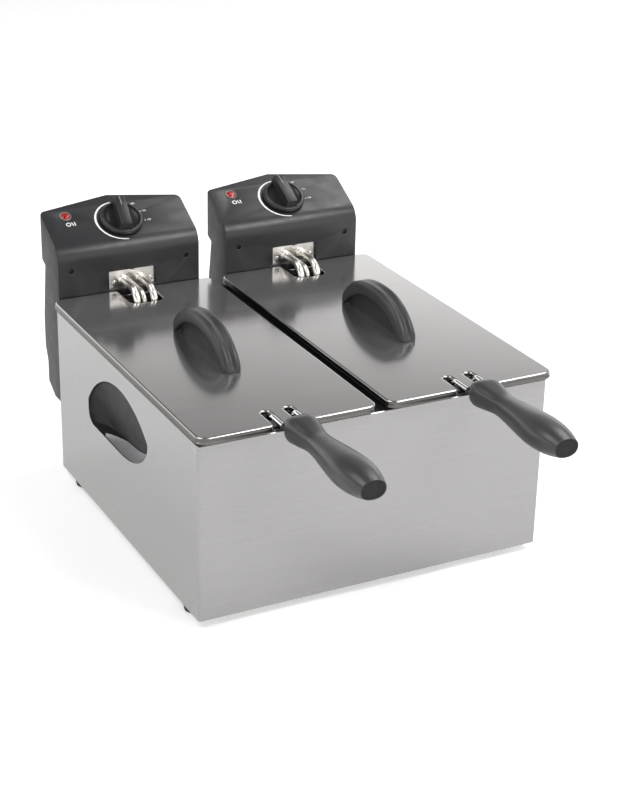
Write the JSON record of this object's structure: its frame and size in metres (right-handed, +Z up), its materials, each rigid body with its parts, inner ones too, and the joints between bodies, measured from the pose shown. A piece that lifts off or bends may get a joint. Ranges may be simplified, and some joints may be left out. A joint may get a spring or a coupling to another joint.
{
  "type": "deep fryer",
  "caption": "Countertop deep fryer with lift-out oil tanks, lift-off control heads, loose lids and baskets with folding handles in a brushed steel housing.",
  "frame": {"origin": "on the table under the middle of the whole object's box, so z = 0 is the underside of the rubber feet", "axes": "+X to the user's right, +Y from the basket grips towards the control heads, +Z up"},
  "size_m": [0.385, 0.614, 0.2987],
  "materials": {
    "housing_steel": "brushed, satin",
    "lid_steel": "brushed, satin, polished rim",
    "deck_steel": "satin black",
    "base_steel": "zinc plated",
    "rubber": "matte",
    "screw_steel": "zinc plated",
    "screw_dark": "blackened",
    "cup_plastic": "fine texture",
    "tank_enamel": "speckled enamel",
    "head_plastic": "fine texture",
    "rear_plastic": "fine texture",
    "plate_steel": "bright",
    "element_steel": "nickel plated, slightly heat tinted",
    "brass_part": "satin",
    "knob_plastic": "satin",
    "lamp_red": "clear red",
    "ceramic_part": "unglazed",
    "button_red": "gloss",
    "switch_plastic": "plain",
    "plated_wire": "bright",
    "grip_plastic": "satin, fine texture",
    "lid_handle_plastic": "satin"
  },
  "bodies": {
    "housing": {"housing_shell": "housing_steel", "top_deck": "deck_steel", "base_plate": "base_steel", "rubber_feet": "rubber", "foot_screws": "screw_steel", "left_grip_cup": "cup_plastic", "right_grip_cup": "cup_plastic", "head_rails": "base_steel"},
    "left_tank": {"left_oil_tank": "tank_enamel"},
    "left_head": {"left_head_front_cover": "head_plastic", "left_head_rear_cover": "rear_plastic", "left_head_screws": "screw_dark", "left_element_plate": "plate_steel", "left_plate_screws": "plate_steel", "left_heating_element": "element_steel", "left_sensor_tube": "element_steel", "left_thermostat": "brass_part", "left_pilot_lamp": "lamp_red", "left_thermal_cutout": "ceramic_part", "left_interlock_switch": "switch_plastic", "left_terminal_block": "ceramic_part", "left_cord_gland": "rubber"},
    "left_knob": {"left_control_knob": "knob_plastic", "left_thermostat_shaft": "plate_steel"},
    "left_reset": {"left_reset_button": "button_red"},
    "left_interlock": {"left_interlock_plunger": "button_red"},
    "left_basket": {"left_basket_frame": "plated_wire", "left_basket_mesh": "plated_wire", "left_basket_bracket": "plated_wire"},
    "left_basket_handle": {"left_handle_wires": "plated_wire", "left_handle_grip": "grip_plastic"},
    "left_lid": {"left_lid_panel": "lid_steel", "left_lid_handle": "lid_handle_plastic", "left_lid_screws": "screw_steel"},
    "right_tank": {"right_oil_tank": "tank_enamel"},
    "right_head": {"right_head_front_cover": "head_plastic", "right_head_rear_cover": "rear_plastic", "right_head_screws": "screw_dark", "right_element_plate": "plate_steel", "right_plate_screws": "plate_steel", "right_heating_element": "element_steel", "right_sensor_tube": "element_steel", "right_thermostat": "brass_part", "right_pilot_lamp": "lamp_red", "right_thermal_cutout": "ceramic_part", "right_interlock_switch": "switch_plastic", "right_terminal_block": "ceramic_part", "right_cord_gland": "rubber"},
    "right_knob": {"right_control_knob": "knob_plastic", "right_thermostat_shaft": "plate_steel"},
    "right_reset": {"right_reset_button": "button_red"},
    "right_interlock": {"right_interlock_plunger": "button_red"},
    "right_basket": {"right_basket_frame": "plated_wire", "right_basket_mesh": "plated_wire", "right_basket_bracket": "plated_wire"},
    "right_basket_handle": {"right_handle_wires": "plated_wire", "right_handle_grip": "grip_plastic"},
    "right_lid": {"right_lid_panel": "lid_steel", "right_lid_handle": "lid_handle_plastic", "right_lid_screws": "screw_steel"}
  },
  "joints": [
    {"name": "left_tank_lift", "type": "slide", "parent": "housing", "child": "left_tank", "axis": [0, 0, 1], "range_m": [0, 0.16]},
    {"name": "left_head_lift", "type": "slide", "parent": "left_tank", "child": "left_head", "axis": [0, 0, 1], "range_m": [0, 0.16]},
    {"name": "left_basket_lift", "type": "slide", "parent": "left_head", "child": "left_basket", "axis": [0, 0, 1], "range_m": [0, 0.13]},
    {"name": "left_lid_lift", "type": "slide", "parent": "left_basket", "child": "left_lid", "axis": [0, 0, 1], "range_m": [0, 0.25]},
    {"name": "left_handle_fold", "type": "hinge", "parent": "left_basket", "child": "left_basket_handle", "pos_m": [-0.099, -0.129, 0.198], "axis": [-1, 0, 0], "range_deg": [0, 90]},
    {"name": "left_knob_turn", "type": "hinge", "parent": "left_head", "child": "left_knob", "pos_m": [-0.099, 0.2709, 0.27243], "axis": [0, -0.4695, 0.8829], "range_deg": [-120, 150]},
    {"name": "left_reset_press", "type": "slide", "parent": "left_head", "child": "left_reset", "axis": [0, -1, 0], "range_m": [0, 0.002], "stiffness_N_per_m": 400, "springref_m": -0.002},
    {"name": "left_interlock_travel", "type": "slide", "parent": "left_head", "child": "left_interlock", "axis": [0, 0, -1], "range_m": [0, 0.0025]},
    {"name": "right_tank_lift", "type": "slide", "parent": "housing", "child": "right_tank", "axis": [0, 0, 1], "range_m": [0, 0.16]},
    {"name": "right_head_lift", "type": "slide", "parent": "right_tank", "child": "right_head", "axis": [0, 0, 1], "range_m": [0, 0.16]},
    {"name": "right_basket_lift", "type": "slide", "parent": "right_head", "child": "right_basket", "axis": [0, 0, 1], "range_m": [0, 0.13]},
    {"name": "right_lid_lift", "type": "slide", "parent": "right_basket", "child": "right_lid", "axis": [0, 0, 1], "range_m": [0, 0.25]},
    {"name": "right_handle_fold", "type": "hinge", "parent": "right_basket", "child": "right_basket_handle", "pos_m": [0.099, -0.129, 0.198], "axis": [-1, 0, 0], "range_deg": [0, 90]},
    {"name": "right_knob_turn", "type": "hinge", "parent": "right_head", "child": "right_knob", "pos_m": [0.099, 0.2709, 0.27243], "axis": [0, -0.4695, 0.8829], "range_deg": [-120, 150]},
    {"name": "right_reset_press", "type": "slide", "parent": "right_head", "child": "right_reset", "axis": [0, -1, 0], "range_m": [0, 0.002], "stiffness_N_per_m": 400, "springref_m": -0.002},
    {"name": "right_interlock_travel", "type": "slide", "parent": "right_head", "child": "right_interlock", "axis": [0, 0, -1], "range_m": [0, 0.0025]}
  ],
  "couplings": [
    {"joint": "left_interlock_travel", "follows": "left_head_lift", "ratio": 0.015625},
    {"joint": "right_interlock_travel", "follows": "right_head_lift", "ratio": 0.015625}
  ]
}
